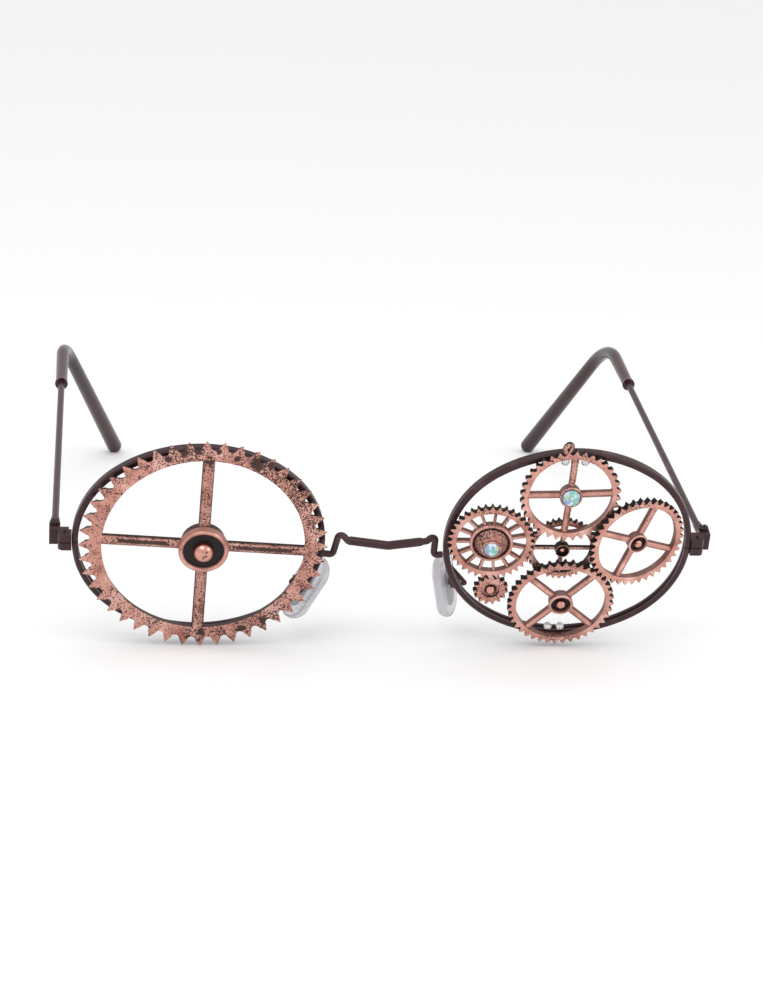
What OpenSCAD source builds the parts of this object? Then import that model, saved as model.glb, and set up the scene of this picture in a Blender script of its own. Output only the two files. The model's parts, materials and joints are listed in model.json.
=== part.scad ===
// Round wire spectacles without lenses, dressed with cast clockwork gears on the front.
// The front is drawn in its own plane: x to the viewer's right, y back towards the wearer
// and z up along the front. stand() leans it forward onto its lowest teeth and ear tips.

/* [Eyewires] */
// Width of an eyewire over its outside
rim_w = 48; // [44:0.5:52]
// Height of an eyewire over its outside
rim_h = 42.8; // [39:0.2:45]
// Gap between the two eyewires at the nose
rim_gap = 22.7; // [19:0.1:26]
// Radial thickness of the channel wire
rim_t = 1.2; // [1:0.05:1.6]
// Depth of the channel wire, front to back
rim_d = 1.9; // [1.6:0.05:2.4]
// Width of the lens groove inside the channel
groove_w = 0.8; // [0.4:0.05:1]
// Depth of the lens groove
groove_d = 0.45; // [0.2:0.05:0.6]
// Width of the saw cut where the eyewire is clamped shut
rim_cut = 0.2; // [0.1:0.05:0.4]
// Bevel on the outer edges of the channel wire
rim_bevel = 0.3; // [0.1:0.05:0.4]

/* [Bridge] */
// Diameter of the bridge wire
bridge_wire = 1.15; // [0.9:0.05:1.3]
// Height of the flattened bar of the bridge
bar_h = 1.8; // [1.4:0.1:2.2]
// Depth of the flattened bar
bar_d = 1.2; // [1:0.05:1.5]
// How far the middle of the bar bows forward
bar_bow = 1.6; // [0.8:0.1:2.4]
// Height of the bar above the middle of the eyewires
bar_rise = 0.8; // [-0.5:0.1:2]
// Height of the top of each bridge loop
loop_top = 2.2; // [1.8:0.1:3.2]
// Depth of the bottom of each bridge loop
loop_drop = 3.2; // [2.6:0.1:3.8]
// Sideways lean of the hand-bent bridge
bridge_shift = 0.6; // [0:0.1:0.8]

/* [End pieces and hinges] */
// Width of the clamping block beside the eyewire
block_w = 2.6; // [2.2:0.1:3.2]
// Height of both halves of the clamping block together
block_h = 3.4; // [2.8:0.1:4]
// Depth of the clamping block
block_d = 2.2; // [2:0.1:2.6]
// Hinge axis outside the eyewire
hinge_out = 3.2; // [2.9:0.1:3.8]
// Hinge axis behind the middle of the front
hinge_back = 4; // [3.7:0.1:5]
// Hinge middle below the middle of the eyewires
hinge_drop = 0.9; // [0.6:0.1:1.2]
// Outer radius of the hinge knuckles
knuckle_r = 1.05; // [0.95:0.05:1.15]
// Height of each outer knuckle
knuckle_h = 1; // [0.8:0.1:1.4]
// Height of the temple's eye between the knuckles
eye_h = 1.3; // [1.1:0.1:1.8]
// Radius of the hinge screw's shank
hinge_screw_r = 0.45; // [0.4:0.05:0.5]
// Radius of the clamping screw's shank
lock_screw_r = 0.4; // [0.35:0.05:0.45]
// Radial running clearance of the temple's eye on its screw
run_gap = 0.05; // [0.03:0.01:0.08]

/* [Temples] */
// Diameter of the temple wire
temple_wire = 1.2; // [1:0.05:1.4]
// Length from the hinge axis to the ear bend
temple_l = 98; // [90:1:106]
// Length of bare wire from the hinge axis to the ear sleeve
bare_l = 74.3; // [66:0.1:80]
// Angle between the temple and a line square to the front
panto = 10.2; // [8:0.2:13]
// Inward splay of each open temple
splay = 0.5; // [0:0.1:1.5]
// Angle by which the ear piece turns down
ear_turn = 52.9; // [46:0.1:58]
// Angle by which the ear piece leans inward
ear_lean = 17.8; // [10:0.1:24]
// Length of the ear piece from the bend to its end
ear_l = 49.7; // [42:0.1:56]
// Radius of the ear bend
ear_bend_r = 14; // [11:1:17]
// Wall of the ear sleeve over the wire
sleeve_wall = 0.8; // [0.6:0.05:1]
// Extra radius of the sleeve near its rounded end
sleeve_swell = 0.2; // [0:0.05:0.3]
// Clearance between the wire and the sleeve
sleeve_gap = 0.03; // [0.02:0.01:0.05]

/* [Nose pads] */
// Length of a silicone pad
pad_l = 14; // [12.5:0.5:15]
// Width of a silicone pad
pad_w = 7.6; // [6.5:0.1:8]
// Thickness of a silicone pad at its middle
pad_t = 2.2; // [1.8:0.1:2.4]
// Pad mount outward from the middle of the bridge
pad_x = 15.2; // [14.5:0.1:16]
// Pad mount behind the middle of the front
pad_y = 5.3; // [5:0.1:5.8]
// Pad mount below the middle of the eyewires
pad_z = 13.2; // [12.4:0.1:14]
// Angle by which the pads open towards the face
pad_splay = 25; // [20:1:30]
// Resting tilt of the left pad, bottom outward
left_pad_tilt = 34; // [10:1:34]
// Resting tilt of the right pad, bottom outward
right_pad_tilt = 12; // [10:1:34]
// Diameter of the pad arm wire
arm_wire = 0.8; // [0.7:0.05:0.9]
// Radius of the pad screw's shank
pad_screw_r = 0.3; // [0.25:0.05:0.35]

/* [Large gear] */
// Radius over the large gear's teeth
large_r = 23.45; // [22:0.05:24]
// Radius of the large gear's opening
large_in_r = 19.25; // [18:0.05:20]
// Teeth of the large gear
large_teeth = 44; // [40:4:48]
// Height of the large gear's teeth
large_tooth_h = 2.05; // [1.6:0.05:2.2]
// Thickness of the large gear
large_t = 1.7; // [1.4:0.1:2]
// Width of the large gear's spokes
large_spoke_w = 2.3; // [1.8:0.1:2.8]
// Large gear's middle inward from the eyewire's middle
large_dx = 0.65; // [0:0.05:0.65]
// Large gear's middle above the eyewire's middle
large_dz = 0.35; // [0:0.05:0.5]
// Outer radius of the large hub collar
collar_r = 4.75; // [4.3:0.05:5]
// Height of the collar in front of the gear's hub
collar_h = 2.2; // [1.6:0.1:2.4]
// Wall of the collar
collar_wall = 0.7; // [0.5:0.05:0.9]
// Radius of the domed rivet head
dome_r = 2.05; // [1.8:0.05:2.2]

/* [Small gears] */
// Thickness of the small gears
small_t = 1.6; // [1.4:0.05:1.7]
// Height of the small gears' teeth
small_tooth_h = 0.85; // [0.7:0.05:0.9]
// Radius over the top gear's teeth
top_r = 9.5; // [9.2:0.05:9.5]
// Radius over the fan gear's teeth
fan_r = 8.35; // [8.1:0.05:8.35]
// Radius over the bottom gear's teeth
bottom_r = 10.4; // [10:0.05:10.4]
// Radius over the side gear's teeth
side_r = 9.75; // [9.4:0.05:9.75]
// Radius over the pinion's teeth
pinion_r = 3.4; // [3.2:0.05:3.4]
// Radius over the back gear's teeth
back_r = 6.9; // [6.6:0.05:7.1]
// Width of the rings that carry the small teeth
ring_w = 0.85; // [0.7:0.05:1]
// Width of the small gears' spokes
small_spoke_w = 1.15; // [0.9:0.05:1.3]
// Number of fine spokes in the fan gear
fan_spokes = 15; // [12:1:16]
// How far the top gear's teeth pass the eyewire
top_over = 1.1; // [0.8:0.1:1.4]
// Distance of the back gear's face behind the front gears' seats
back_step = 1.25; // [1:0.05:1.5]
// Turn of the side gear, its inner edge forward
side_turn = 15; // [14.5:0.1:17]
// Distance of the side gear's face in front of the eyewires
side_front = 3.9; // [3.85:0.05:4.2]

/* [Hidden] */
$fn = 48;
eps = 0.01;

// Colours as the photograph shows them
lacquer = "#4b3a3c";
copper = "#c98471";
black = "#241c1e";
sleeve_brown = "#4a3035";
clear = "#dcdde6";
opal = "#9fd6d2";
screw_steel = "#5a4b4c";

// Middle of an eyewire, and the two radii of its four-arc oval
rim_cx = rim_gap / 2 + rim_w / 2;
half_w = rim_w / 2;
half_h = rim_h / 2;
end_r = (half_h * half_h / half_w + half_h) / 2;
flat_r = (half_w * half_w + half_h * half_h - 2 * half_w * end_r) / (2 * (half_h - end_r));
end_c = half_w - end_r;
flat_c = flat_r - half_h;
join_a = atan2(flat_c, end_c);

// Small gaps between pieces that lie against each other
seat = 0.02;
slip = 0.02;

// Overlap along a wire where a straight runs into a bend, and the hair by which it is thinner
lap = 0.1;
hair = 0.012;

// Hinge place on the viewer's right; the left one is its mirror image
hinge_x = rim_cx + half_w + hinge_out;
fork_gap = 0.1;
fork_h = eye_h + 2 * fork_gap + 2 * knuckle_h;

// Ear piece end in the plane of the front, and the lean that puts it on the table
sleeve_r = temple_wire / 2 + sleeve_wall;
tip_r = sleeve_r + sleeve_swell;
ear_back = temple_l + (ear_l - tip_r) * cos(ear_turn);
ear_down = (ear_l - tip_r) * sin(ear_turn) * cos(ear_lean);
tip_y = hinge_back + ear_back * cos(panto) - ear_down * sin(panto);
tip_z = -hinge_drop - ear_back * sin(panto) - ear_down * cos(panto);
front_y = -rim_d / 2 - seat - large_t;
foot_z = large_dz - large_r;
reach = tip_y - front_y;
fall = foot_z - tip_z;
lean = atan2(fall, reach) + asin(tip_r / sqrt(reach * reach + fall * fall));
lift = -(front_y * sin(lean) + foot_z * cos(lean));

// Distance that brings the middle of the whole part over the origin
crown_z = large_dz + large_r;
front_edge = front_y * cos(lean) - crown_z * sin(lean);
back_edge = tip_y * cos(lean) - tip_z * sin(lean) + tip_r;
shift_y = -(front_edge + back_edge) / 2;

// Seats of the small gears: each lies on an eyewire and on the back gear
seat_y = -rim_d / 2 - seat;
back_face = -rim_d / 2 - back_step;
back_x = rim_cx - 1.25;
back_z = 0;
back_t = 1;
seat_tilt = atan2(back_step, half_h - back_r);
top_z = half_h + top_over - top_r;
top_x = rim_cx - 1.2;
top_y = seat_y - (half_h - top_z) * tan(seat_tilt);
fan_x = rim_cx - half_w + 0.55 + fan_r;
fan_z = 2;
fan_turn = atan2(back_step, back_x - back_r - fan_x + fan_r);
fan_y = seat_y - fan_r * tan(fan_turn);
bottom_x = rim_cx - 0.65;
side_x = rim_cx + half_w - rim_t - 0.25 - side_r * cos(side_turn);
side_z = 3;
pinion_x = rim_cx - 14.15;
pinion_z = -10;
pinion_t = 1.3;

// The bottom gear reaches down to the table, like the large gear
low_front = seat_y - small_t * cos(seat_tilt);
low_edge = half_h + small_t * sin(seat_tilt);
bottom_over = (lift + low_front * sin(lean) - low_edge * cos(lean)) / (cos(lean) - tan(seat_tilt) * sin(lean));
bottom_z = bottom_r * cos(seat_tilt) - half_h - bottom_over;
bottom_y = seat_y - (half_h + bottom_z) * tan(seat_tilt);
pinion_face = bottom_y - (pinion_z - bottom_z) * tan(seat_tilt) + seat;

// Leans the front forward and sets the part on the table
module stand() {
    translate([0, shift_y, lift])
        rotate([lean, 0, 0])
            children();
}

// Draws the viewer's left or right copy of a piece that is written for the right
module on_side(left) {
    if (left)
        mirror([1, 0, 0])
            children();
    else
        children();
}

// Turns a shape whose axis is z so that z points out of the front
module face_front() {
    rotate([90, 0, 0])
        children();
}

// Matrix that puts x, y and z axes and an origin into place
function axes(x, y, z, o) = [
    [x[0], y[0], z[0], o[0]],
    [x[1], y[1], z[1], o[1]],
    [x[2], y[2], z[2], o[2]],
    [0, 0, 0, 1]
];
function unit(v) = v / norm(v);
function side_of(d) = unit(abs(d[2]) > 0.9 ? cross(d, [0, 1, 0]) : cross(d, [0, 0, 1]));

// Round rod through a list of points, with one bend radius per inner point.
// Its straights are a hair thinner than its bends and run a little way into them.
module bent_rod(points, bends, r) {
    last = len(points) - 1;
    dirs = [for (i = [0:last - 1]) unit(points[i + 1] - points[i])];
    turns = [for (i = [1:last - 1]) acos(dirs[i - 1] * dirs[i])];
    cut = [for (i = [0:last]) i == 0 || i == last ? 0 : bends[i - 1] * tan(turns[i - 1] / 2) - lap];
    for (i = [0:last - 1]) {
        d = dirs[i];
        s = side_of(d);
        run = norm(points[i + 1] - points[i]) - cut[i] - cut[i + 1];
        multmatrix(axes(s, cross(d, s), d, points[i] + cut[i] * d))
            cylinder(r = r - hair, h = run);
    }
    for (i = [1:last - 1]) {
        a = unit(cross(dirs[i - 1], dirs[i]));
        m = cross(a, dirs[i - 1]);
        start = points[i] - (cut[i] + lap) * dirs[i - 1];
        multmatrix(axes(-m, dirs[i - 1], a, start + bends[i - 1] * m))
            rotate_extrude(angle = turns[i - 1])
                translate([bends[i - 1], 0])
                    circle(r);
    }
}

// Section of the channel wire: x runs from the outer face inwards, y front to back.
// The thin setting draws it a hair smaller all round.
module channel_section(thin) {
    d = rim_d / 2 - thin;
    inner = rim_t - thin;
    groove = groove_w / 2 + thin;
    polygon([
        [thin, -d + rim_bevel], [thin + rim_bevel, -d], [inner, -d], [inner, -groove],
        [inner - groove_d, -groove / 2], [inner - groove_d, groove / 2],
        [inner, groove], [inner, d], [thin + rim_bevel, d], [thin, d - rim_bevel]
    ]);
}

// One arc of the oval: radius over the outside, half angle, middle direction and centre
module channel_arc(r, half, direction, centre, thin) {
    translate(centre)
        rotate([0, 0, direction - half])
            rotate_extrude(angle = 2 * half)
                translate([r, 0])
                    mirror([1, 0])
                        channel_section(thin);
}

// Oval channel wire, cut open at its outer side
module eyewire(left) {
    on_side(left)
        translate([rim_cx, 0, 0])
            face_front()
                difference() {
                    union() {
                        channel_arc(end_r, join_a + 0.3, 0, [end_c, 0, 0], hair);
                        channel_arc(end_r, join_a + 0.3, 180, [-end_c, 0, 0], hair);
                        channel_arc(flat_r, 90 - join_a, 90, [0, -flat_c, 0], 0);
                        channel_arc(flat_r, 90 - join_a, 270, [0, flat_c, 0], 0);
                    }
                    translate([half_w - rim_t - 1, -block_split - rim_cut / 2, -rim_d])
                        cube([rim_t + 2, rim_cut, 2 * rim_d]);
                }
}

// Height of the split between the two halves of the clamping block
block_split = 0.3;

module left_eyewire() {
    color(lacquer)
        stand()
            eyewire(true);
}

module right_eyewire() {
    color(lacquer)
        stand()
            eyewire(false);
}

// Bridge: two upright loops of wire brazed to the eyewires, joined by a flattened bar
braze_a = asin((loop_drop - 0.3) / end_r);
braze_x = rim_cx - end_c - (end_r + seat) * cos(braze_a);
braze_z = -(end_r + seat) * sin(braze_a);
knee = 1.85;
knee_x = braze_x - knee * cos(braze_a);
knee_z = braze_z - knee * sin(braze_a);
bar_y = -0.5;
module bridge() {
    left_top = -knee_x + 0.75;
    right_top = knee_x - 0.8 + bridge_shift;
    left_end = left_top + 1.6;
    right_end = right_top - 1.6;
    mid = [(left_end + right_end) / 2, bar_y - bar_bow, bar_rise];
    color(lacquer)
        stand() {
            bridge_loop([
                [-braze_x, 0, braze_z], [-knee_x, 0, knee_z], [left_top, 0, loop_top],
                [left_end, bar_y, bar_rise], mid
            ]);
            bridge_loop([
                [braze_x, 0, braze_z], [knee_x, 0, knee_z], [right_top, 0, loop_top],
                [right_end, bar_y, bar_rise], mid
            ]);
            bridge_bar([left_end, bar_y, bar_rise], mid);
        }
}

// One upright loop, from the eyewire to a point inside the bar
module bridge_loop(points) {
    inner = points[3] + 0.35 * (points[4] - points[3]);
    bent_rod([points[0], points[1], points[2], points[3], inner], [0.8, 0.62, 0.9], bridge_wire / 2);
}

// Flattened bar, bent a little forward in its middle
module bridge_bar(end, mid) {
    bow_a = atan2(end[1] - mid[1], mid[0] - end[0]);
    bend_r = 6;
    cut = bend_r * tan(bow_a);
    start = 0.9;
    straight = norm(mid - end) - cut - start + lap;
    for (s = [0, 1])
        translate(mid)
            mirror([s, 0, 0])
                rotate([0, 0, bow_a])
                    translate([cut - lap, 0, 0])
                        rotate([0, 90, 0])
                            linear_extrude(straight)
                                bar_section(hair);
    translate(mid + [0, bend_r / cos(bow_a), 0])
        rotate([0, 0, 270 - bow_a])
            rotate_extrude(angle = 2 * bow_a)
                translate([bend_r, 0])
                    rotate(90)
                        bar_section(0);
}

// Section of the flattened bar, rounded above and below
module bar_section(thin) {
    flat = bar_h - bar_d;
    d = bar_d - 2 * thin;
    square([flat, d], center = true);
    for (s = [-1, 1])
        translate([s * flat / 2, 0])
            circle(d = d);
}

// Plan of the clamping block, with its outer front corner rounded
module block_plan() {
    round_r = 1;
    square([block_w - round_r, block_d]);
    translate([0, round_r])
        square([block_w, block_d - round_r]);
    translate([block_w - round_r, round_r])
        circle(round_r);
}

block_x = rim_cx + half_w + seat;
block_gap = rim_cut;
screw_x = block_x + block_w / 2;
half_block = (block_h - block_gap) / 2;
lock_head_r = 0.75;
lock_head_h = 0.5;
leaf_y = hinge_back - knuckle_r - 0.25;
leaf_t = 0.8;

// Upper half of the block, its arm and the fork of the hinge
module end_piece(left) {
    fork_z = -hinge_drop - fork_h / 2;
    block_z = -block_split + block_gap / 2;
    arm_h = fork_z + fork_h - block_z;
    on_side(left)
        difference() {
            union() {
                translate([block_x, -block_d / 2, block_z])
                    linear_extrude(half_block)
                        block_plan();
                translate([block_x + 0.5, block_d / 2 - 0.5, block_z])
                    cube([block_w - 0.5, leaf_y - leaf_t / 2 - block_d / 2 + 0.5, arm_h]);
                translate([block_x + 0.5, leaf_y - leaf_t, fork_z])
                    cube([hinge_x + knuckle_r - block_x - 0.5, leaf_t, fork_h]);
                for (z = [fork_z, fork_z + knuckle_h + eye_h + 2 * fork_gap])
                    translate([hinge_x, hinge_back, z]) {
                        cylinder(r = knuckle_r, h = knuckle_h);
                        translate([-knuckle_r, leaf_y - hinge_back - eps, 0])
                            cube([2 * knuckle_r, hinge_back - leaf_y + eps, knuckle_h]);
                    }
            }
            translate([screw_x, 0, block_z - 1])
                cylinder(r = lock_screw_r + slip, h = half_block + 2);
            translate([screw_x, 0, block_z + half_block - lock_head_h])
                cylinder(r = lock_head_r + slip, h = 2);
            translate([hinge_x, hinge_back, fork_z - 1])
                cylinder(r = hinge_screw_r + slip, h = fork_h + 2);
        }
}

// Lower half of the block, pulled up by the clamping screw
module lock_block(left) {
    z = -block_split - block_gap / 2 - half_block;
    on_side(left)
        difference() {
            translate([block_x, -block_d / 2, z])
                linear_extrude(half_block)
                    block_plan();
            translate([screw_x, 0, z - 1])
                cylinder(r = lock_screw_r + slip, h = half_block + 2);
        }
}

// Cheese-head screw standing on z = 0 under its head, its shank pointing down
module slotted_screw(shank_r, head_r, head_h, length) {
    slot_w = head_r * 0.35;
    difference() {
        union() {
            cylinder(r = head_r, h = head_h);
            translate([0, 0, -length])
                cylinder(r = shank_r, h = length + eps);
        }
        translate([-slot_w / 2, -head_r - 1, head_h * 0.5])
            cube([slot_w, 2 * head_r + 2, head_h]);
    }
}

// Clamping screw through both halves of the block
module lock_screw(left) {
    top = -block_split + block_gap / 2 + half_block;
    on_side(left)
        translate([screw_x, 0, top - lock_head_h])
            slotted_screw(lock_screw_r, lock_head_r, lock_head_h, block_h - lock_head_h);
}

// Hinge screw that carries the temple
module hinge_screw(left) {
    on_side(left)
        translate([hinge_x, hinge_back, -hinge_drop + fork_h / 2])
            slotted_screw(hinge_screw_r, knuckle_r - 0.15, 0.45, fork_h + 0.25);
}

// Origin at the hinge axis, y along the open temple
module temple_frame(left) {
    on_side(left)
        translate([hinge_x, hinge_back, -hinge_drop])
            rotate([0, 0, splay])
                rotate([-panto, 0, 0])
                    children();
}

// Bend of the ear piece in the temple's own frame, leaning inward
module ear_frame() {
    rotate([0, ear_lean, 0])
        children();
}

wire_start = 2.3;
socket_l = 3.2;
bend_cut = ear_bend_r * tan(ear_turn / 2);
wire_end = ear_l - 8;

// Temple wire from the hinge eye into the ear sleeve
module temple_wire(left) {
    temple_frame(left)
        ear_frame()
            bent_rod([
                [0, wire_start, 0], [0, temple_l, 0],
                [0, temple_l + wire_end * cos(ear_turn), -wire_end * sin(ear_turn)]
            ], [ear_bend_r], temple_wire / 2);
}

// Hinge eye with a short socket for the wire
module temple_knuckle(left) {
    socket_r = temple_wire / 2 + 0.25;
    on_side(left)
        translate([hinge_x, hinge_back, -hinge_drop])
            rotate([0, 0, splay])
                difference() {
                    union() {
                        translate([0, 0, -eye_h / 2])
                            cylinder(r = knuckle_r, h = eye_h);
                        rotate([-panto, 0, 0])
                            rotate([-90, 0, 0])
                                translate([0, 0, knuckle_r - 0.35])
                                    cylinder(r = socket_r, h = wire_start + socket_l - knuckle_r);
                    }
                    translate([0, 0, -eye_h])
                        cylinder(r = hinge_screw_r + run_gap, h = 2 * eye_h);
                    rotate([-panto, 0, 0])
                        rotate([-90, 0, 0])
                            translate([0, 0, wire_start])
                                cylinder(r = temple_wire / 2 + slip, h = 10);
                    translate([-5, -5, eye_h / 2 + eps])
                        cube([10, 5 + knuckle_r + 0.15, 5]);
                    translate([-5, -5, -eye_h / 2 - eps - 5])
                        cube([10, 5 + knuckle_r + 0.15, 5]);
                }
}

// Half profile of the ear sleeve's straight start, with a flared mouth
module sleeve_start_profile(l) {
    lip = 0.2;
    r = sleeve_r - hair;
    polygon([
        [0, 0], [sleeve_r + lip, 0], [sleeve_r + lip, 0.5], [r, 1.2], [r, l + lap], [0, l + lap]
    ]);
}

// Half profile of the ear sleeve's end, swelling to a rounded tip
module sleeve_end_profile(l) {
    r = sleeve_r - hair;
    polygon([[0, -lap], [r, -lap], [r, 3], [tip_r, l * 0.4], [tip_r, l - tip_r], [0, l - tip_r]]);
    intersection() {
        translate([0, l - tip_r])
            circle(tip_r);
        translate([0, l - tip_r - 0.2])
            square([tip_r, tip_r + 0.2]);
    }
}

// Plastic sleeve that covers the ear piece, bored for the wire
module ear_sleeve(left) {
    start_l = temple_l - bend_cut - bare_l;
    end_l = ear_l - bend_cut;
    bore_r = temple_wire / 2 + sleeve_gap;
    bore_end = wire_end + 0.4;
    temple_frame(left)
        ear_frame()
            difference() {
                union() {
                    translate([0, bare_l, 0])
                        rotate([-90, 0, 0])
                            rotate_extrude()
                                sleeve_start_profile(start_l);
                    translate([0, temple_l - bend_cut, -ear_bend_r])
                        rotate([90, 0, 90])
                            rotate([0, 0, 90 - ear_turn])
                                rotate_extrude(angle = ear_turn)
                                    translate([ear_bend_r, 0])
                                        circle(sleeve_r);
                    translate([0, temple_l, 0])
                        rotate([-ear_turn, 0, 0])
                            translate([0, bend_cut, 0])
                                rotate([-90, 0, 0])
                                    rotate_extrude()
                                        sleeve_end_profile(end_l);
                }
                bent_rod([
                    [0, bare_l - 1, 0], [0, temple_l, 0],
                    [0, temple_l + bore_end * cos(ear_turn), -bore_end * sin(ear_turn)]
                ], [ear_bend_r], bore_r);
                translate([0, bare_l - eps, 0])
                    rotate([-90, 0, 0])
                        cylinder(r1 = bore_r + 0.3, r2 = bore_r, h = 0.8);
            }
}

// Frame of a pad mount: x towards the nose, y along the pad screw, z up the pad
module pad_frame(left, tilt = 0) {
    on_side(left)
        translate([pad_x, pad_y, -pad_z])
            rotate([0, 0, 180 - pad_splay])
                rotate([0, tilt, 0])
                    children();
}

tongue_w = 0.8;
cheek_t = 0.4;
cheek_gap = 0.12;
box_h = 2;
box_back = 1.15;
box_wall = 0.4;
plate_x = 1.35;
plate_t = 0.4;

// Small brass box that holds the pad's tongue, at the end of the pad arm
module pad_box(left) {
    inner = tongue_w / 2 + cheek_gap;
    pad_frame(left)
        difference() {
            translate([-box_back, -inner - cheek_t, -box_h / 2])
                cube([box_back + 0.55, 2 * (inner + cheek_t), box_h]);
            translate([-box_back + box_wall, -inner, -box_h])
                cube([5, 2 * inner, 2 * box_h]);
            rotate([90, 0, 0])
                translate([0, 0, -5])
                    cylinder(r = pad_screw_r + slip, h = 10);
        }
}

// Screw across the pad box, on which the pad rocks
module pad_screw(left) {
    reach = tongue_w / 2 + cheek_gap + cheek_t;
    pad_frame(left)
        translate([0, -reach, 0])
            rotate([90, 0, 0])
                slotted_screw(pad_screw_r, 0.6, 0.35, 2 * reach + 0.2);
}

// Metal insert of a pad: an eye and a tongue under a thin plate
module pad_mount(left, tilt) {
    eye_r = 0.65;
    pad_frame(left, tilt)
        difference() {
            union() {
                rotate([90, 0, 0])
                    cylinder(r = eye_r, h = tongue_w, center = true);
                translate([0, -tongue_w / 2, -eye_r + 0.1])
                    cube([plate_x + eps, tongue_w, 2 * eye_r - 0.2]);
                translate([plate_x, 0, -pad_offset])
                    rotate([0, 90, 0])
                        linear_extrude(plate_t)
                            pad_outline(pad_l - 5, pad_w - 4);
            }
            rotate([90, 0, 0])
                cylinder(r = pad_screw_r + run_gap, h = 5, center = true);
        }
}

pad_offset = 0.8;

// Oval outline with straight sides, long axis along x
module pad_outline(l, w) {
    square([l - w, w], center = true);
    for (s = [-1, 1])
        translate([s * (l - w) / 2, 0])
            circle(d = w);
}

// Soft silicone pad with a flat back and a crowned face
module nose_pad(left, tilt) {
    crown_r = 26;
    pad_frame(left, tilt)
        translate([plate_x + plate_t + seat, 0, -pad_offset])
            intersection() {
                rotate([0, 90, 0])
                    linear_extrude(pad_t)
                        pad_outline(pad_l, pad_w);
                translate([pad_t - crown_r, 0, 0])
                    sphere(crown_r, $fn = 180);
            }
}

// Pad arm, bent from the back of the eyewire round to the pad box
module pad_arm(left) {
    n = [-cos(pad_splay), sin(pad_splay), 0];
    box_end = [pad_x, pad_y, -pad_z] - (box_back + seat) * n;
    foot_a = 22;
    foot_r = end_r - rim_t / 2;
    foot = [rim_cx - end_c - foot_r * cos(foot_a), rim_d / 2 + seat, -foot_r * sin(foot_a)];
    on_side(left)
        bent_rod([
            foot, foot + [0, 1.8, 0], box_end + [1.2, -0.4, 3.2],
            box_end - 1.4 * n, box_end
        ], [0.7, 0.9, 0.7], arm_wire / 2);
}

// Gap between two teeth: a round root opening into a wedge
module tooth_gap(r, n, h) {
    pitch = 2 * PI * r / n;
    root_r = 0.24 * pitch;
    land = 0.05 * pitch;
    mid = r - h + root_r;
    over = 0.3;
    half = (pitch - land) / 2 * (1 + over / h);
    translate([mid, 0])
        circle(root_r);
    polygon([[mid, -root_r], [r + over, -half], [r + over, half], [mid, root_r]]);
}

// Ring of pointed cast teeth with an open middle, its first tooth at the given angle
module toothed_ring(r, n, h, inner, t, first) {
    linear_extrude(t)
        difference() {
            circle(r);
            circle(inner);
            for (i = [0:n - 1])
                rotate(first + (i + 0.5) * 360 / n)
                    tooth_gap(r, n, h);
        }
}

// Half-round spoke along x with small webs where it meets the ring
module spoke(r0, r1, w, t, web) {
    base = t - w / 2;
    translate([r0, -w / 2, 0])
        cube([r1 - r0, w, base]);
    intersection() {
        translate([r0, 0, base])
            rotate([0, 90, 0])
                cylinder(d = w, h = r1 - r0);
        translate([r0 - 1, -w, base - eps])
            cube([r1 - r0 + 2, 2 * w, w]);
    }
    if (web > 0)
        linear_extrude(base)
            polygon([[r1 - web, 0], [r1, -web - w / 2], [r1, web + w / 2]]);
}

// Ring, spokes and hub of one cast gear, back face on z = 0
module cast_gear(r, n, h, rim, t, spokes, spoke_w, hub_r, hub_h, first, turn, web) {
    inner = r - h - rim;
    toothed_ring(r, n, h, inner, t, first);
    for (i = [0:spokes - 1])
        rotate(turn + i * 360 / spokes)
            spoke(hub_r * 0.8, inner + rim * 0.4, spoke_w, t - 0.25, web);
    cylinder(r = hub_r, h = hub_h);
}

// Frames of the gears: origin on the back face, z towards the viewer
module large_frame() {
    translate([-rim_cx + large_dx, seat_y, large_dz])
        face_front()
            children();
}

module top_frame() {
    translate([top_x, top_y, top_z])
        rotate([-seat_tilt, 0, 0])
            face_front()
                children();
}

module fan_frame() {
    translate([fan_x, fan_y, fan_z])
        rotate([0, 0, -fan_turn])
            face_front()
                children();
}

module bottom_frame() {
    translate([bottom_x, bottom_y, bottom_z])
        rotate([seat_tilt, 0, 0])
            face_front()
                children();
}

module side_frame() {
    translate([side_x, -side_front, side_z])
        rotate([0, 0, side_turn])
            face_front()
                translate([0, 0, -small_t])
                    children();
}

module pinion_frame() {
    translate([pinion_x, pinion_face + pinion_t, pinion_z])
        face_front()
            children();
}

module back_frame() {
    translate([back_x, back_face + back_t, back_z])
        face_front()
            children();
}

// Hub with a round recess in its front and a hole right through
module recess(hub_r, wall, depth, hub_h, hole_r) {
    translate([0, 0, hub_h - depth])
        cylinder(r = hub_r - wall, h = depth + 1);
    translate([0, 0, -1])
        cylinder(r = hole_r + slip, h = hub_h + 2);
}

// Rivet with a domed head resting on z = base and a flat head behind z = 0
module domed_rivet(head_r, base, shank_r) {
    sphere_r = head_r * 1.08;
    sink = sqrt(sphere_r * sphere_r - head_r * head_r);
    tail_h = 0.35;
    intersection() {
        translate([0, 0, base + seat + 0.3 * head_r - sink])
            sphere(sphere_r);
        translate([0, 0, base + seat])
            cylinder(r = head_r, h = 2 * head_r);
    }
    translate([0, 0, -tail_h - seat])
        cylinder(r = shank_r * 1.6, h = tail_h);
    translate([0, 0, -tail_h])
        cylinder(r = shank_r, h = base + tail_h + 0.3 * head_r);
}

// Large gear over the viewer's left eyewire
large_hub_r = collar_r + 0.15;
large_hub_h = large_t - 0.1;
module large_gear() {
    ring = large_r - large_tooth_h - large_in_r;
    color(copper)
        stand()
            large_frame()
                difference() {
                    cast_gear(large_r, large_teeth, large_tooth_h, ring, large_t, 4,
                        large_spoke_w, large_hub_r, large_hub_h, 90, -3, 1.1);
                    translate([0, 0, -1])
                        cylinder(r = 1 + slip, h = large_t + 2);
                }
}

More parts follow.
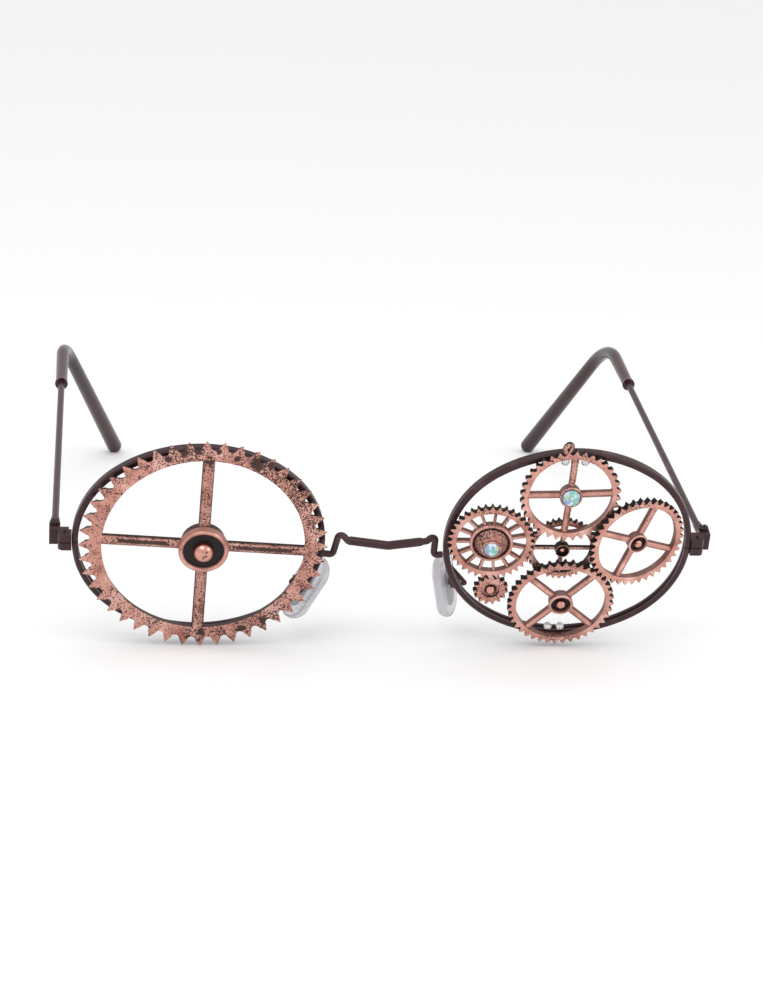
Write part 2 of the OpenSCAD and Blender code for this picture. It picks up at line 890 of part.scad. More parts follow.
// Raised collar round the large hub
module large_hub_collar() {
    color(copper)
        stand()
            large_frame()
                translate([0, 0, large_hub_h + seat])
                    rotate_extrude()
                        polygon([
                            [collar_r - collar_wall, 0], [collar_r, 0],
                            [collar_r, collar_h - 0.3], [collar_r - 0.25, collar_h],
                            [collar_r - collar_wall + 0.15, collar_h],
                            [collar_r - collar_wall, collar_h - 0.2]
                        ]);
}

module large_hub_rivet() {
    color(copper)
        stand()
            large_frame()
                domed_rivet(dome_r, large_hub_h, 1);
}

// Top gear, with a stone seat in its hub and a cast hanging loop
top_hub_r = 2;
top_hub_h = small_t + 0.75;
stone_r = 1.75;
module top_gear() {
    loop_r = 0.95;
    color(copper)
        stand()
            top_frame() {
                difference() {
                    cast_gear(top_r, 36, small_tooth_h, ring_w, small_t, 4,
                        small_spoke_w, top_hub_r, top_hub_h, mesh_a, -2, 0.6);
                    translate([0, 0, top_hub_h - 0.6])
                        cylinder(r = stone_r + slip, h = 2);
                }
                translate([-1.2, top_r + 0.35, small_t / 2])
                    rotate([0, 60, 0])
                        rotate_extrude()
                            translate([loop_r, 0])
                                circle(0.35);
            }
}

// Direction from the top gear's middle to the fan gear's, where two teeth meet
mesh_a = atan2(fan_z - top_z, fan_x - top_x);

// Cut stone: girdle, crown and table above a shallow pavilion
module cut_stone(r, depth, crown) {
    rotate_extrude()
        polygon([
            [0, 0], [r * 0.6, 0], [r, depth * 0.6], [r, depth],
            [r * 0.62, depth + crown], [0, depth + crown]
        ]);
}

module top_stone() {
    color(opal)
        stand()
            top_frame()
                translate([0, 0, top_hub_h - 0.6 + seat])
                    cut_stone(stone_r - slip, 0.5, 0.55);
}

// Fan gear with many fine spokes round a wide boss
fan_hub_r = 4.15;
fan_hub_h = small_t + 0.1;
module fan_gear() {
    color(copper)
        stand()
            fan_frame()
                difference() {
                    cast_gear(fan_r, 36, small_tooth_h, ring_w, small_t, fan_spokes,
                        0.55, fan_hub_r, fan_hub_h, mesh_a + 180 + 5, 84, 0);
                    translate([0, 0, fan_hub_h - 0.6])
                        cylinder(r = fan_hub_r - 0.6, h = 2);
                    translate([0, 0, -1])
                        cylinder(r = 1 + slip, h = small_t + 2);
                }
}

// Turned boss that stands in the fan gear's hub and carries its stone
fan_boss_h = 2.6;
fan_stone_r = 1.55;
module fan_boss() {
    foot_r = 3.1;
    floor_z = fan_hub_h - 0.6 + seat;
    color(copper)
        stand()
            fan_frame()
                translate([0, 0, floor_z])
                    difference() {
                        union() {
                            rotate_extrude()
                                polygon([
                                    [0, 0], [foot_r, 0], [foot_r, 0.5], [foot_r - 0.2, 0.8],
                                    [fan_stone_r + 0.55, fan_boss_h - 0.7],
                                    [fan_stone_r + 0.35, fan_boss_h - 0.5],
                                    [fan_stone_r + 0.35, fan_boss_h - 0.1],
                                    [fan_stone_r + 0.2, fan_boss_h], [0, fan_boss_h]
                                ]);
                            translate([0, 0, -floor_z])
                                cylinder(r = 1, h = floor_z + eps);
                        }
                        translate([0, 0, fan_boss_h - 0.55])
                            cylinder(r = fan_stone_r + slip, h = 1);
                    }
}

module fan_stone() {
    color(opal)
        stand()
            fan_frame()
                translate([0, 0, fan_hub_h - 0.6 + fan_boss_h - 0.55 + 2 * seat])
                    cut_stone(fan_stone_r - slip, 0.45, 0.5);
}

// Bottom gear, its spokes set as a cross
bottom_hub_r = 2.4;
bottom_hub_h = small_t + 0.8;
module bottom_gear() {
    color(copper)
        stand()
            bottom_frame()
                difference() {
                    cast_gear(bottom_r, 40, small_tooth_h, ring_w, small_t, 4,
                        small_spoke_w, bottom_hub_r, bottom_hub_h, 90, 42, 0.6);
                    recess(bottom_hub_r, 0.55, 0.9, bottom_hub_h, 0.5);
                }
}

module bottom_rivet() {
    color(copper)
        stand()
            bottom_frame()
                domed_rivet(0.95, bottom_hub_h - 0.9, 0.5);
}

// Side gear, standing across the others with its inner edge forward
side_hub_r = 2;
module side_gear() {
    color(copper)
        stand()
            side_frame()
                difference() {
                    cast_gear(side_r, 40, small_tooth_h, ring_w, small_t, 4,
                        small_spoke_w, side_hub_r, bottom_hub_h, 90, 66, 0.6);
                    recess(side_hub_r, 0.4, 0.9, bottom_hub_h, 0.45);
                }
}

module side_rivet() {
    color(copper)
        stand()
            side_frame()
                domed_rivet(0.85, bottom_hub_h - 0.9, 0.45);
}

// Small solid pinion below the fan gear
module pinion_gear() {
    color(copper)
        stand()
            pinion_frame()
                difference() {
                    toothed_ring(pinion_r, 15, 0.7, 0.45, pinion_t, 90);
                    translate([0, 0, pinion_t - 0.4])
                        cylinder(r = 1.7, h = 1);
                }
}

module pinion_rivet() {
    color(copper)
        stand()
            pinion_frame()
                domed_rivet(0.95, pinion_t - 0.4, 0.43);
}

// Back gear that the front gears lie against
back_hub_r = 1.4;
module back_gear() {
    color(black)
        stand()
            back_frame()
                difference() {
                    cast_gear(back_r, 36, 0.6, 0.8, back_t, 4,
                        0.8, back_hub_r, back_t + 0.6, 90, 0, 0.4);
                    recess(back_hub_r, 0.3, 0.6, back_t + 0.6, 0.3);
                }
}

module back_rivet() {
    color(copper)
        stand()
            back_frame()
                domed_rivet(0.55, back_t, 0.3);
}

// Clear beads of glue behind the gears, inside the eyewires
module adhesive_beads() {
    bead_r = 0.8;
    color(clear)
        stand() {
            for (x = [-2.4, -0.6, 1.4])
                translate([rim_cx + x, seat_y + seat, half_h - rim_t - bead_r - 0.15])
                    half_bead(bead_r);
            for (x = [-2, 0.4])
                translate([rim_cx + x, seat_y + seat, -(half_h - rim_t - bead_r - 0.15)])
                    half_bead(bead_r);
        }
}

// Half a drop, flat against the gear's back
module half_bead(r) {
    intersection() {
        sphere(r);
        translate([-r, 0, -r])
            cube(2 * r);
    }
}

// Both sides of the paired pieces
module left_end_piece() {
    color(lacquer)
        stand()
            end_piece(true);
}

module right_end_piece() {
    color(lacquer)
        stand()
            end_piece(false);
}

module left_lock_block() {
    color(lacquer)
        stand()
            lock_block(true);
}

module right_lock_block() {
    color(lacquer)
        stand()
            lock_block(false);
}

module left_lock_screw() {
    color(screw_steel)
        stand()
            lock_screw(true);
}

module right_lock_screw() {
    color(screw_steel)
        stand()
            lock_screw(false);
}

module left_hinge_screw() {
    color(screw_steel)
        stand()
            hinge_screw(true);
}

module right_hinge_screw() {
    color(screw_steel)
        stand()
            hinge_screw(false);
}

module left_temple_wire() {
    color(lacquer)
        stand()
            temple_wire(true);
}

module right_temple_wire() {
    color(lacquer)
        stand()
            temple_wire(false);
}

module left_temple_knuckle() {
    color(lacquer)
        stand()
            temple_knuckle(true);
}

module right_temple_knuckle() {
    color(lacquer)
        stand()
            temple_knuckle(false);
}

module left_ear_sleeve() {
    color(sleeve_brown)
        stand()
            ear_sleeve(true);
}

module right_ear_sleeve() {
    color(sleeve_brown)
        stand()
            ear_sleeve(false);
}

module left_pad_arm() {
    color(lacquer)
        stand()
            pad_arm(true);
}

module right_pad_arm() {
    color(lacquer)
        stand()
            pad_arm(false);
}

module left_pad_box() {
    color(lacquer)
        stand()
            pad_box(true);
}

module right_pad_box() {
    color(lacquer)
        stand()
            pad_box(false);
}

module left_pad_screw() {
    color(screw_steel)
        stand()
            pad_screw(true);
}

module right_pad_screw() {
    color(screw_steel)
        stand()
            pad_screw(false);
}

module left_pad_mount() {
    color(lacquer)
        stand()
            pad_mount(true, left_pad_tilt);
}

module right_pad_mount() {
    color(lacquer)
        stand()
            pad_mount(false, right_pad_tilt);
}

module left_nose_pad() {
    color(clear)
        stand()
            nose_pad(true, left_pad_tilt);
}

module right_nose_pad() {
    color(clear)
        stand()
            nose_pad(false, right_pad_tilt);
}

left_eyewire();
right_eyewire();
bridge();
left_end_piece();
right_end_piece();
left_lock_block();
right_lock_block();
left_lock_screw();
right_lock_screw();
left_hinge_screw();
right_hinge_screw();
left_temple_wire();
right_temple_wire();
left_temple_knuckle();
right_temple_knuckle();
left_ear_sleeve();
right_ear_sleeve();
left_pad_arm();
right_pad_arm();
left_pad_box();
right_pad_box();
left_pad_screw();
right_pad_screw();
left_pad_mount();
right_pad_mount();
left_nose_pad();
right_nose_pad();
large_gear();
large_hub_collar();
large_hub_rivet();
top_gear();
top_stone();
fan_gear();
fan_boss();
fan_stone();
bottom_gear();
bottom_rivet();
side_gear();
side_rivet();
pinion_gear();
pinion_rivet();
back_gear();
back_rivet();
adhesive_beads();
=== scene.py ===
import json
import math

import bmesh
import bpy
from mathutils import Matrix, Vector


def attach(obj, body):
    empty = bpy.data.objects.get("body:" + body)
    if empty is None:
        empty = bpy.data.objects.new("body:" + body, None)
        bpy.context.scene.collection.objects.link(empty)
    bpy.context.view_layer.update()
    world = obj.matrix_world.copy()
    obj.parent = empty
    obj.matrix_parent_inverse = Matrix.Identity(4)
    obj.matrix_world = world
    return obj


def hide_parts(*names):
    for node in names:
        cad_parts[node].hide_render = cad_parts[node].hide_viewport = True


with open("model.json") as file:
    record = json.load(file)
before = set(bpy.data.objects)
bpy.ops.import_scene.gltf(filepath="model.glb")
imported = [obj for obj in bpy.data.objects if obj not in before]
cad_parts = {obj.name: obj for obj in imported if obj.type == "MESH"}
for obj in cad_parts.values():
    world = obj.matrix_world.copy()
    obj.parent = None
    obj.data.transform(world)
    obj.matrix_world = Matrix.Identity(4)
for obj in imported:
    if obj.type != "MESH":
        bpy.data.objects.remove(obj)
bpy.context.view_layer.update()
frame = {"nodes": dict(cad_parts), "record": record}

nodes = frame["nodes"]
link = bpy.context.scene.collection.objects.link
MM = 0.001


# Wire frame
# Two eyewires of channel wire, each rolled to an oval and closed by a clamping block under its
# end piece, with the hinge knuckles behind. All of it is metal, dipped in dark brown lacquer,
# which is rubbed a little lighter in places.
class Val:
    """A socket that is added, multiplied and compared like a number."""

    def __init__(self, tree, socket):
        self.tree = tree
        self.socket = socket

    def node(self, kind, inputs=(), out=0, **settings):
        n = self.tree.nodes.new(kind)
        for k, v in settings.items():
            setattr(n, k, v)
        for k, v in dict(inputs).items():
            fill(n.inputs[k], v)
        return Val(self.tree, n.outputs[out])

    def math(self, op, *others):
        return self.node("ShaderNodeMath", enumerate((self,) + others), operation=op)

    def vec(self, op, *others, out=0):
        return self.node("ShaderNodeVectorMath", enumerate((self,) + others), out=out, operation=op)

    def __add__(self, o):
        return self.math("ADD", o)

    def __sub__(self, o):
        return self.math("SUBTRACT", o)

    def __mul__(self, o):
        return self.math("MULTIPLY", o)

    __radd__ = __add__
    __rmul__ = __mul__

    def __rsub__(self, o):
        return self.math("MULTIPLY", -1.0) + o

    def most(self, o):
        return self.math("MAXIMUM", o)

    def step(self, lo, hi):
        """0 below lo, 1 above hi and smooth between."""
        return self.node("ShaderNodeMapRange", {0: self, 1: lo, 2: hi, 3: 0.0, 4: 1.0},
                         interpolation_type="SMOOTHSTEP")

    def mix(self, a, b):
        """Colour a where this is 0, colour b where it is 1."""
        return self.node("ShaderNodeMix", {0: self, 6: a, 7: b}, out=2, data_type="RGBA")

    def noise(self, scale, detail=2.0, rough=0.5):
        return self.node("ShaderNodeTexNoise", {
            "Vector": self, "Scale": scale, "Detail": detail, "Roughness": rough})

    def bump(self, strength, distance):
        return self.node("ShaderNodeBump", {"Height": self, "Strength": strength, "Distance": distance})


def fill(socket, v):
    """Link a value to a socket, or set the socket to a plain value."""
    if isinstance(v, Val):
        v.tree.links.new(v.socket, socket)
    else:
        socket.default_value = v


def rgb(r, g, b):
    """Linear colour from an 8-bit screen colour."""
    def lin(c):
        c /= 255
        return c / 12.92 if c <= 0.04045 else ((c + 0.055) / 1.055) ** 2.4
    return (lin(r), lin(g), lin(b), 1.0)


def material(name):
    """New material with its shader, object coordinates and object normals."""
    mat = bpy.data.materials.new(name)
    mat.use_nodes = True
    tree = mat.node_tree
    tree.nodes.clear()
    out = tree.nodes.new("ShaderNodeOutputMaterial")
    shader = tree.nodes.new("ShaderNodeBsdfPrincipled")
    tree.links.new(shader.outputs[0], out.inputs[0])
    coord = tree.nodes.new("ShaderNodeTexCoord")
    return mat, shader, Val(tree, coord.outputs["Object"]), Val(tree, coord.outputs["Normal"])


def feed(shader, **values):
    for k, v in values.items():
        fill(shader.inputs[k.replace("_", " ")], v)


def dress(mat, *names):
    """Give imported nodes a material."""
    for name in names:
        slots = nodes[name].data.materials
        slots.clear()
        slots.append(mat)


LACQUER, RUBBED = rgb(62, 40, 43), rgb(100, 74, 78)

brown, shader, p, n = material("brown_lacquer")
wear = p.noise(240, 3, 0.55).step(0.5, 0.8) * 0.6
feed(shader, Base_Color=wear.mix(LACQUER, RUBBED), Roughness=wear * 0.12 + 0.3, Metallic=0.25,
     Specular_IOR_Level=0.3, Normal=p.noise(1700, 2, 0.5).bump(0.1, 0.06 * MM))
for side in ("left", "right"):
    dress(brown, side + "_eyewire", side + "_end_piece", side + "_lock_block", side + "_temple_knuckle",
          side + "_pad_arm", side + "_pad_box")


# Screws
# Six small slotted screws of darkened steel: one clamps each eyewire, one is the pin of each
# hinge and one holds each nose pad in its box.
steel, shader, p, n = material("screw_steel")
feed(shader, Base_Color=rgb(58, 42, 44), Metallic=0.7, Roughness=0.36)
for side in ("left", "right"):
    dress(steel, side + "_lock_screw", side + "_hinge_screw", side + "_pad_screw")


# Bridge
# One round wire, bent cold into a loop at each end and a shallow bow between them, and a little
# thicker along the bow. Its ends are brazed to the eyewires.

# The plane of the front, in millimetres: x to the viewer's right, y back and z up. Its place
# follows from the two hinges, which lie behind it and below its middle.
HINGE_BACK, HINGE_DROP = 4.0, 0.9
joints = {j["name"]: j for j in frame["record"]["behaviour"]["joints"]}
hinge_left, hinge_right = (Vector(joints[side + "_temple_fold"]["pos_m"]) for side in ("left", "right"))
up = Vector(joints["right_temple_fold"]["axis"]).normalized()
across = (hinge_right - hinge_left).normalized()
front_rot = Matrix((across, up.cross(across), up)).transposed()
front_origin = (hinge_left + hinge_right) / 2 - front_rot @ Vector((0, HINGE_BACK, -HINGE_DROP)) * MM
to_row = Matrix.Translation(front_origin) @ front_rot.to_4x4() @ Matrix.Scale(MM, 4)


def row(x, y, z):
    """Place, in metres, of a point of the front plane."""
    return to_row @ Vector((x, y, z))


def row_dir(x, y, z):
    return (front_rot @ Vector((x, y, z))).normalized()


def group(name, inputs):
    """Geometry node group with named inputs, and those inputs as values."""
    tree = bpy.data.node_groups.new(name, "GeometryNodeTree")
    for title, kind in inputs.items():
        tree.interface.new_socket(name=title, in_out="INPUT", socket_type="NodeSocket" + kind)
    tree.interface.new_socket(name="Result", in_out="OUTPUT", socket_type="NodeSocketGeometry")
    entry = tree.nodes.new("NodeGroupInput")
    return tree, {title: Val(tree, entry.outputs[title]) for title in inputs}


def finish_group(shape, paint):
    shape = shape.node("GeometryNodeRealizeInstances", {0: shape})
    shape = shape.node("GeometryNodeSetMaterial", {"Geometry": shape, "Material": paint})
    fill(shape.tree.nodes.new("NodeGroupOutput").inputs[0], shape)


def build(tree, mesh, **inputs):
    """Plain mesh that the group makes from a mesh."""
    seed = bpy.data.objects.new("seed", mesh)
    link(seed)
    live = seed.modifiers.new("build", "NODES")
    live.node_group = tree
    for item in tree.interface.items_tree:
        if item.in_out == "INPUT" and item.name in inputs:
            live[item.identifier] = inputs[item.name]
    bpy.context.view_layer.update()
    result = bpy.data.meshes.new_from_object(seed.evaluated_get(bpy.context.evaluated_depsgraph_get()))
    seed.modifiers.clear()
    bpy.data.objects.remove(seed)
    return result


def stand_in(name, mesh, node, body, sharp=40):
    """Piece of a finished mesh, smooth but for its sharp edges, that rides on a body and takes
    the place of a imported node."""
    mesh.name = name
    bm = bmesh.new()
    bm.from_mesh(mesh)
    bmesh.ops.recalc_face_normals(bm, faces=bm.faces)
    bm.to_mesh(mesh)
    bm.free()
    mesh.shade_smooth()
    mesh.set_sharp_from_angle(angle=math.radians(sharp))
    piece = bpy.data.objects.new(name, mesh)
    link(piece)
    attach(piece, body)
    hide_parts(node)
    return piece


# Rod along a path with filleted corners. Swell widens it towards its end, which is rounded over
# 1 / Round; Lip widens its mouth, and Bar swell the stretch within Bar of its middle.
ROD_STEP, ROD_AROUND, CORNER_STEPS = 0.22, 20, 10
LIP_FULL, LIP_GONE, BAR_EASE = 0.45, 1.1, 0.4
# Just short of 1, so that a rounded end keeps a tiny flat
END_SHARE = 0.985
rod, use = group("bent rod", {
    "Path": "Geometry", "Bend": "Float", "Radius": "Float", "Swell": "Float", "Round": "Float",
    "Lip": "Float", "Bar": "Float", "Bar swell": "Float", "Paint": "Material"})
path = use["Path"].node("GeometryNodeMeshToCurve", {0: use["Path"]})
path = path.node("GeometryNodeFilletCurve", {
    "Curve": path, "Radius": use["Bend"], "Count": CORNER_STEPS}, mode="POLY")
path = path.node("GeometryNodeResampleCurve", {"Curve": path, "Length": ROD_STEP}, mode="LENGTH")
run = path.node("GeometryNodeSplineParameter", out="Length")
total = path.node("GeometryNodeSplineLength", out="Length")
past = ((run - total) * use["Round"] + 1).most(0.0)
dome = (1 - past * past * END_SHARE).math("SQRT")
swell = run.math("DIVIDE", total) * use["Swell"]
lip = (1 - run.step(LIP_FULL, LIP_GONE)) * use["Lip"]
past_bar = (run - total * 0.5).math("ABSOLUTE") - use["Bar"]
bar = (1 - past_bar.step(-BAR_EASE, BAR_EASE)) * use["Bar swell"]
section = path.node("GeometryNodeCurvePrimitiveCircle", {"Resolution": ROD_AROUND, "Radius": 1.0})
tube = path.node("GeometryNodeCurveToMesh", {
    "Curve": path, "Profile Curve": section, "Fill Caps": True,
    "Scale": (use["Radius"] + swell) * dome + lip + bar})
finish_group(tube, use["Paint"])

CUT_END = {"Round": 20.0}


def bent_rod(name, node, body, slot, paint, points, **sizes):
    mesh = bpy.data.meshes.new(name)
    mesh.from_pydata(points, [(i, i + 1) for i in range(len(points) - 1)], [])
    mesh = build(rod, mesh, Paint=paint, **{**CUT_END, **sizes})
    mesh.transform(to_row)
    return stand_in(name, mesh, node, body)


BRIDGE = {"Radius": 0.66, "Bend": 0.75, "Bar": 7.2, "Bar swell": 0.2}
# Corners of the wire, from one eyewire to the other
BRIDGE_PATH = [
    (-11.54, 0, -2.9), (-9.71, 0, -3.17), (-8.66, 0, 2.2), (-7.06, -0.5, 0.5), (0.57, -2.1, 0.5),
    (8.21, -0.5, 0.5), (9.81, 0, 2.2), (9.71, 0, -3.17), (11.54, 0, -2.9),
]
bent_rod("bent_bridge", "bridge", "front", "brown_lacquer", brown, BRIDGE_PATH, **BRIDGE)


# Temples
# Each lacquered wire runs back from its hinge, bends down behind the ear and ends inside a
# moulded sleeve of glossy reddish brown plastic, with a round end and a small lip at its mouth.
# The wires are bent by hand: the right one runs further back before it turns down.
# Radius of the wire, of the sleeve at its mouth and at its end, and height of the lip
WIRE, SLEEVE, SLEEVE_END, SLEEVE_LIP = 0.68, 1.2, 1.72, 0.16
# Where the wire starts behind its hinge, and how far it stops short of the end of the ear part
WIRE_START, WIRE_SHORT = 2.3, 8
# From the hinge: bare wire, length to the bend and length of the ear part, with the bend's radius;
# slope down and inwards, turn of the bend and lean of the ear part in degrees
TEMPLES = {
    "left": {"bare": 74.3, "length": 98.0, "ear": 48.1, "radius": 14.0,
             "slope": 10.2, "splay": 0.5, "turn": 52.9, "lean": 17.8},
    "right": {"bare": 78.25, "length": 102.94, "ear": 48.03, "radius": 18.0,
              "slope": 10.14, "splay": 1.0, "turn": 53.97, "lean": 17.24},
}
HINGE_X = (hinge_right - hinge_left).length / 2 / MM
SLEEVE_DARK, SLEEVE_RED = rgb(40, 12, 18), rgb(58, 20, 26)

sleeve_paint, shader, p, n = material("sleeve_brown")
feed(shader, Base_Color=p.noise(90, 2, 0.5).step(0.3, 0.7).mix(SLEEVE_DARK, SLEEVE_RED),
     Roughness=0.22, Specular_IOR_Level=0.5)


def on_side(side, v):
    """Point of the front plane, mirrored for the left side."""
    return Vector((-v.x if side == "left" else v.x, v.y, v.z))


def temple_point(side, back, down=0.0):
    """Point of a temple: back along it from the hinge, then down along its ear part."""
    t = TEMPLES[side]
    turn = math.radians(t["turn"])
    v = Vector((0, back + down * math.cos(turn), -down * math.sin(turn)))
    for angle, axis in ((t["lean"], "Y"), (-t["slope"], "X"), (t["splay"], "Z")):
        v.rotate(Matrix.Rotation(math.radians(angle), 3, axis))
    return on_side(side, v + Vector((HINGE_X, HINGE_BACK, -HINGE_DROP)))


for side, t in TEMPLES.items():
    start, mouth = temple_point(side, WIRE_START), temple_point(side, t["bare"])
    bend, wire_end, sleeve_end = (
        temple_point(side, t["length"], down) for down in (0, t["ear"] - WIRE_SHORT, t["ear"] + SLEEVE_END))
    bent_rod(side + "_temple_rod", side + "_temple_wire", side + "_temple", "brown_lacquer", brown,
             [start, bend, wire_end], Bend=t["radius"], Radius=WIRE)
    bent_rod(side + "_moulded_sleeve", side + "_ear_sleeve", side + "_temple", "sleeve_plastic",
             sleeve_paint, [mouth, bend, sleeve_end], Bend=t["radius"], Radius=SLEEVE,
             Swell=SLEEVE_END - SLEEVE, Round=1 / SLEEVE_END, Lip=SLEEVE_LIP)


# Pad arms
# Short lacquered wires, brazed to the backs of the eyewires. Each is bent outwards and in again,
# and carries the box in which a nose pad rocks.
ARM = {"Radius": 0.4, "Bend": 0.7}
# Where the arm is brazed on, and its first straight
ARM_FOOT = Vector((13.38, 0.97, -7.36))
ARM_BACK = Vector((0, 1.8, 0))
# Middle of the pad's screw, the back of its box behind that, and the arm's straight end
PAD_AT = Vector((15.2, 5.3, -13.2))
BOX_BACK, ARM_END = 1.17, 1.4
PAD_SPLAY = 25
pad_turn = Matrix.Rotation(math.radians(180 - PAD_SPLAY), 3, "Z")
to_nose = pad_turn @ Vector((1, 0, 0))
box = PAD_AT - to_nose * BOX_BACK
for side in ("left", "right"):
    arm_path = [ARM_FOOT, ARM_FOOT + ARM_BACK, box - to_nose * ARM_END, box]
    bent_rod(side + "_bent_arm", side + "_pad_arm", "front", "brown_lacquer", brown,
             [on_side(side, v) for v in arm_path], **ARM)


# Nose pads
# Clear silicone, moulded round a thin metal plate: a crowned oval with rounded edges. The plate's
# tongue goes out through the flat back and into the pad box.
plate, shader, p, n = material("pad_plate")
feed(shader, Base_Color=rgb(120, 112, 116), Metallic=0.9, Roughness=0.35)
dress(plate, "left_pad_mount", "right_pad_mount")

silicone, shader, p, n = material("clear_silicone")
feed(shader, Base_Color=rgb(240, 238, 243), Roughness=0.25, Transmission_Weight=0.6, IOR=1.4)

PAD_LENGTH, PAD_WIDTH = 14.0, 7.6
# The pad's flat back in front of its screw, and its middle below it
PAD_BACK, PAD_LOWER = 1.2, 0.8
# How far each pad is rocked in the photograph, in degrees
PAD_TILT = {"left": 34, "right": 12}
# Inset of the outline and height over the flat back, from the back's middle over the edge
PAD_PROFILE = [
    (3.4, 0.0), (2.0, 0.0), (0.7, 0.02), (0.25, 0.12), (0.08, 0.38), (0.02, 0.85), (0.1, 1.35),
    (0.35, 1.8), (0.8, 2.15), (1.5, 2.42), (2.4, 2.62), (3.4, 2.7),
]
PAD_AROUND = 56
PAD_HALF = (PAD_LENGTH - PAD_WIDTH) / 2


def loft(bm, rings):
    """Skin over closed rings of vertices, with a cap at each end."""
    for low, high in zip(rings, rings[1:]):
        for k in range(len(low)):
            m = (k + 1) % len(low)
            bm.faces.new((low[k], low[m], high[m], high[k]))
    bm.faces.new(rings[0])
    bm.faces.new(rings[-1])


def pad_point(side, x, y, z):
    """Place of a point of the pad: x off its back, y across and z along it."""
    turn = pad_turn @ Matrix.Rotation(math.radians(PAD_TILT[side]), 3, "Y")
    return row(*on_side(side, turn @ Vector((PAD_BACK + x, y, z - PAD_LOWER)) + PAD_AT))


for side in ("left", "right"):
    bm = bmesh.new()
    rings = []
    for inset, height in PAD_PROFILE:
        radius = PAD_WIDTH / 2 - inset
        ring = []
        for k in range(PAD_AROUND):
            a = 2 * math.pi * (k + 0.5) / PAD_AROUND
            z = (PAD_HALF if math.cos(a) > 0 else -PAD_HALF) + radius * math.cos(a)
            ring.append(bm.verts.new(pad_point(side, height, radius * math.sin(a), z)))
        rings.append(ring)
    loft(bm, rings)
    mesh = bpy.data.meshes.new(side + "_silicone_pad")
    bm.to_mesh(mesh)
    bm.free()
    mesh.materials.append(silicone)
    pad = stand_in(side + "_silicone_pad", mesh, side + "_nose_pad", side + "_pad", 180)


# Large gear
# Flat toothed ring with four half-round spokes over the viewer's left eyewire. It is cast in soft
# metal, so its walls have draft, and copper plated: worn bright on its face, pitted and stained,
# with near black patina on the walls between the teeth, deepened by painted shade.
COPPER, PALE, RED = rgb(208, 152, 138), rgb(230, 180, 168), rgb(176, 118, 106)
# Patina of the pits and walls. On the walls it and the deeper dark are also painted shade.
PATINA, DEEP_PATINA_AND_SHADE = rgb(28, 15, 13), rgb(22, 14, 14)
ENAMEL = rgb(24, 18, 19)
PIT_SHARE = 0.09


def copper(name, place, wall=1.0, specks=0.5, enamel=None, inside=None, zones=(), stains=(), streaks=()):
    """Antiqued copper for a gear at a place, with lengths in millimetres.
    wall: how dark the walls' patina and painted shade are. specks: share of pits. enamel: radius of a black
    hub.
    inside: radius within which the walls' patina and painted shade are lighter. zones: (middle, radius, more)
    of denser pits.
    stains: (middle, radius). streaks: (middle, direction, half length, half width) of dark lines."""
    mat, shader, p, n = material(name)
    axis = (place.to_3x3() @ Vector((0, 0, 1))).normalized()
    from_axis = p.vec("SUBTRACT", tuple(place.translation)).vec("CROSS_PRODUCT", tuple(axis))
    from_axis = from_axis.vec("LENGTH", out=1)
    facing = n.vec("DOT_PRODUCT", tuple(axis), out=1)
    grain = p.noise(3100, 3, 0.62)
    patch = p.noise(420, 3, 0.6)
    dense = PIT_SHARE * specks
    for middle, radius, more in zones:
        away = p.vec("SUBTRACT", tuple(middle)).vec("LENGTH", out=1) * (1 / (radius * MM))
        dense = (1 - (away + (patch - 0.5) * 1.2).step(0.3, 1.1)) * (PIT_SHARE * more) + dense
    pits = (grain + (patch - 0.5) * 0.32 + dense - 0.72).step(0.0, 0.05)
    ragged = (p.noise(1700, 4, 0.7) - 0.5) * 2.4
    for middle, radius in stains:
        away = p.vec("SUBTRACT", tuple(middle)).vec("LENGTH", out=1) * (1 / (radius * MM))
        pits = pits.most(1 - (away + ragged).step(0.6, 1.0))
    for middle, along, half_length, half_width in streaks:
        off = p.vec("SUBTRACT", tuple(middle))
        length = off.vec("DOT_PRODUCT", tuple(along), out=1).math("ABSOLUTE") * (1 / (half_length * MM))
        width = off.vec("DOT_PRODUCT", tuple(along.cross(axis)), out=1).math("ABSOLUTE")
        width = width * (1 / (half_width * MM))
        pits = pits.most(1 - (length.most(width) + ragged * 0.55).step(0.75, 1.0))
    # Walls turned away from the gear's face are darkened: patina, and painted shade between the teeth, on the
    # ring's inner wall and round the hubs.
    walls = (1 - (facing + (grain - 0.5) * 0.3).step(0.42, 0.72)) * wall
    if inside:
        walls = walls * (from_axis.step(inside * MM, (inside + 0.2) * MM) * 0.35 + 0.65)
    worn = p.noise(300, 2, 0.5)
    colour = worn.step(0.3, 0.5).mix(PALE, COPPER)
    colour = worn.step(0.52, 0.75).mix(colour, RED)
    colour = (pits * 0.92).mix(colour, PATINA)
    colour = walls.mix(colour, p.noise(700, 2, 0.5).step(0.5, 0.75).mix(DEEP_PATINA_AND_SHADE, PATINA))
    dark = pits.most(walls)
    metal = (1 - dark) * 0.75
    if enamel:
        black = (1 - from_axis.step(enamel * MM, (enamel + 0.1) * MM)) * facing.step(0.7, 0.9)
        colour = black.mix(colour, ENAMEL)
        metal = metal * (1 - black)
    feed(shader, Base_Color=colour, Roughness=dark * 0.25 + 0.36, Metallic=metal, Specular_IOR_Level=0.25,
         Normal=(grain * 0.5 + patch * 0.6 - dark * 0.7).bump(0.3, 0.1 * MM))
    return mat


